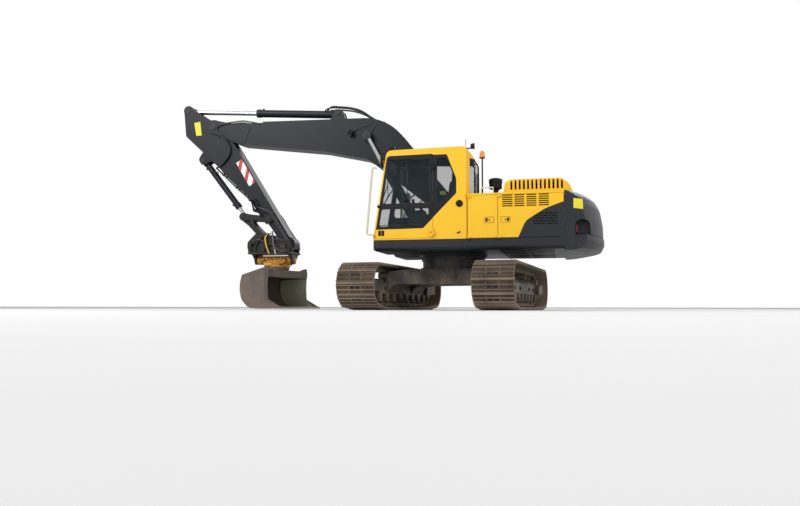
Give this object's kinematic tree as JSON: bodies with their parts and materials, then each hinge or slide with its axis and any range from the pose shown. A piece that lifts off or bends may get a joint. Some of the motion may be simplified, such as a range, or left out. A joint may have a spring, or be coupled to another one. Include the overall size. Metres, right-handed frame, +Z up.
{
  "type": "crawler excavator",
  "caption": "Yellow and dark grey crawler excavator with a bent boom, arm, tilting rotator and smooth-lipped bucket, tracks turned across the cab.",
  "frame": {"origin": "centre of the bounding box's bottom face, on the ground", "axes": "+X towards the boom and bucket, +Y towards the cab's side, +Z up"},
  "size_m": [8.6353, 4.7396, 4.3339],
  "materials": {
    "house_paint": "gloss",
    "grey_paint": "satin",
    "black_parts": "matte",
    "track_steel": "dusty",
    "rod_chrome": "polished",
    "worn_steel": "worn",
    "tinted_glass": "gloss",
    "engine_iron": "matte",
    "cream_paint": "satin",
    "seat_fabric": "matte"
  },
  "bodies": {
    "undercarriage": {"track_frame": "grey_paint", "track_left": "track_steel", "track_right": "track_steel", "sprockets": "track_steel", "idlers": "track_steel", "rollers": "track_steel"},
    "upper": {"deck": "grey_paint", "counterweight": "grey_paint", "body_frame": "house_paint", "engine": "engine_iron", "cooler": "engine_iron", "tanks": "house_paint", "cab": "house_paint", "cab_trim": "black_parts", "cab_glass": "tinted_glass", "seat": "seat_fabric", "controls": "black_parts", "handrails": "cream_paint", "lamps": "black_parts", "intake": "black_parts", "exhaust": "black_parts", "mirrors": "black_parts"},
    "hood_lid": {"hood": "house_paint"},
    "cooler_cover": {"cooler_door": "house_paint"},
    "engine_cover": {"engine_door": "house_paint", "grille": "black_parts"},
    "pump_cover": {"pump_door": "house_paint"},
    "cab_entry": {"cab_door": "black_parts", "door_panel": "house_paint", "door_glass": "tinted_glass"},
    "boom_arm": {"boom": "grey_paint", "boom_lines": "grey_paint"},
    "boom_jacks": {"boom_barrels": "grey_paint"},
    "boom_jack_rods": {"boom_rods": "rod_chrome"},
    "stick_jack": {"arm_barrel": "grey_paint"},
    "stick_jack_rod": {"arm_rod": "rod_chrome"},
    "stick": {"arm": "grey_paint"},
    "tool_jack": {"bucket_barrel": "grey_paint"},
    "tool_jack_rod": {"bucket_rod": "rod_chrome"},
    "rocker_pair": {"rockers": "worn_steel"},
    "tool_link": {"link": "grey_paint"},
    "quick_coupler": {"coupler": "grey_paint"},
    "tilter": {"tilt_housing": "house_paint"},
    "tool": {"rotor": "grey_paint", "bucket": "worn_steel"}
  },
  "joints": [
    {"name": "swing", "type": "hinge", "parent": "undercarriage", "child": "upper", "pos_m": [-1.46779, 0, 1.005], "axis": [0, 0, 1], "continuous": true},
    {"name": "boom_lift", "type": "hinge", "parent": "upper", "child": "boom_arm", "pos_m": [-1.68379, 0, 1.69], "axis": [0, -1, 0], "range_deg": [-58, 36]},
    {"name": "arm_swing", "type": "hinge", "parent": "boom_arm", "child": "stick", "pos_m": [3.5944, 0, 3.8419], "axis": [0, -1, 0], "range_deg": [-8, 112]},
    {"name": "tool_curl", "type": "hinge", "parent": "stick", "child": "quick_coupler", "pos_m": [1.91263, 0, 1.3335], "axis": [0, 1, 0], "range_deg": [-16, 110]},
    {"name": "tool_tilt", "type": "hinge", "parent": "quick_coupler", "child": "tilter", "pos_m": [1.91263, 0, 1.0155], "axis": [1, 0, 0], "range_deg": [-40, 40]},
    {"name": "tool_rotate", "type": "hinge", "parent": "tilter", "child": "tool", "pos_m": [2.18263, 0, 1.0155], "axis": [0, 0, 1], "continuous": true},
    {"name": "cab_door_swing", "type": "hinge", "parent": "upper", "child": "cab_entry", "pos_m": [-1.3018, 1.38, 1.29], "axis": [0, 0, 1], "range_deg": [0, 175]},
    {"name": "cooler_door_swing", "type": "hinge", "parent": "upper", "child": "cooler_cover", "pos_m": [-1.93779, 1.378, 1.29], "axis": [0, 0, 1], "range_deg": [-100, 0]},
    {"name": "engine_door_swing", "type": "hinge", "parent": "upper", "child": "engine_cover", "pos_m": [-2.4718, 1.378, 1.29], "axis": [0, 0, 1], "range_deg": [-100, 0]},
    {"name": "pump_door_swing", "type": "hinge", "parent": "upper", "child": "pump_cover", "pos_m": [-2.4718, -1.378, 1.29], "axis": [0, 0, 1], "range_deg": [0, 100]},
    {"name": "hood_lift", "type": "hinge", "parent": "upper", "child": "hood_lid", "pos_m": [-3.78979, 0, 2.085], "axis": [0, -1, 0], "range_deg": [0, 55]},
    {"name": "boom_jack_swing", "type": "hinge", "parent": "upper", "child": "boom_jacks", "pos_m": [-0.96779, 0, 1.275], "axis": [0, -1, 0], "range_deg": [-61.5, 38.5]},
    {"name": "boom_jack_slide", "type": "slide", "parent": "boom_jacks", "child": "boom_jack_rods", "axis": [0.4764, 0, 0.8792], "range_m": [-0.735, 0.458]},
    {"name": "stick_jack_swing", "type": "hinge", "parent": "boom_arm", "child": "stick_jack", "pos_m": [0.89056, 0, 3.99226], "axis": [0, -1, 0], "range_deg": [-1, 7.2]},
    {"name": "stick_jack_slide", "type": "slide", "parent": "stick_jack", "child": "stick_jack_rod", "axis": [0.9975, 0, 0.0711], "range_m": [-1.192, 0.09]},
    {"name": "tool_jack_swing", "type": "hinge", "parent": "stick", "child": "tool_jack", "pos_m": [3.86411, 0, 3.14698], "axis": [0, -1, 0], "range_deg": [-2.6, 0.8]},
    {"name": "tool_jack_slide", "type": "slide", "parent": "tool_jack", "child": "tool_jack_rod", "axis": [-0.6183, 0, -0.786], "range_m": [-0.132, 0.885]},
    {"name": "rocker_swing", "type": "hinge", "parent": "stick", "child": "rocker_pair", "pos_m": [2.31285, 0, 1.86219], "axis": [0, 1, 0], "range_deg": [-15.2, 101.8]},
    {"name": "link_swing", "type": "hinge", "parent": "quick_coupler", "child": "tool_link", "pos_m": [2.45163, 0, 1.4525], "axis": [0, 1, 0], "range_deg": [-115, 17.2]}
  ],
  "couplings": [
    {"joint": "boom_jack_swing", "follows": "boom_lift", "ratio": 1.05},
    {"joint": "boom_jack_slide", "follows": "boom_lift", "m_per_rad": 0.7219},
    {"joint": "stick_jack_swing", "follows": "arm_swing", "ratio": 0.06},
    {"joint": "stick_jack_slide", "follows": "arm_swing", "m_per_rad": -0.6073},
    {"joint": "tool_jack_swing", "follows": "tool_curl", "ratio": -0.02},
    {"joint": "tool_jack_slide", "follows": "tool_curl", "m_per_rad": 0.4584},
    {"joint": "rocker_swing", "follows": "tool_curl", "ratio": 0.92},
    {"joint": "link_swing", "follows": "tool_curl", "ratio": -1.04}
  ]
}
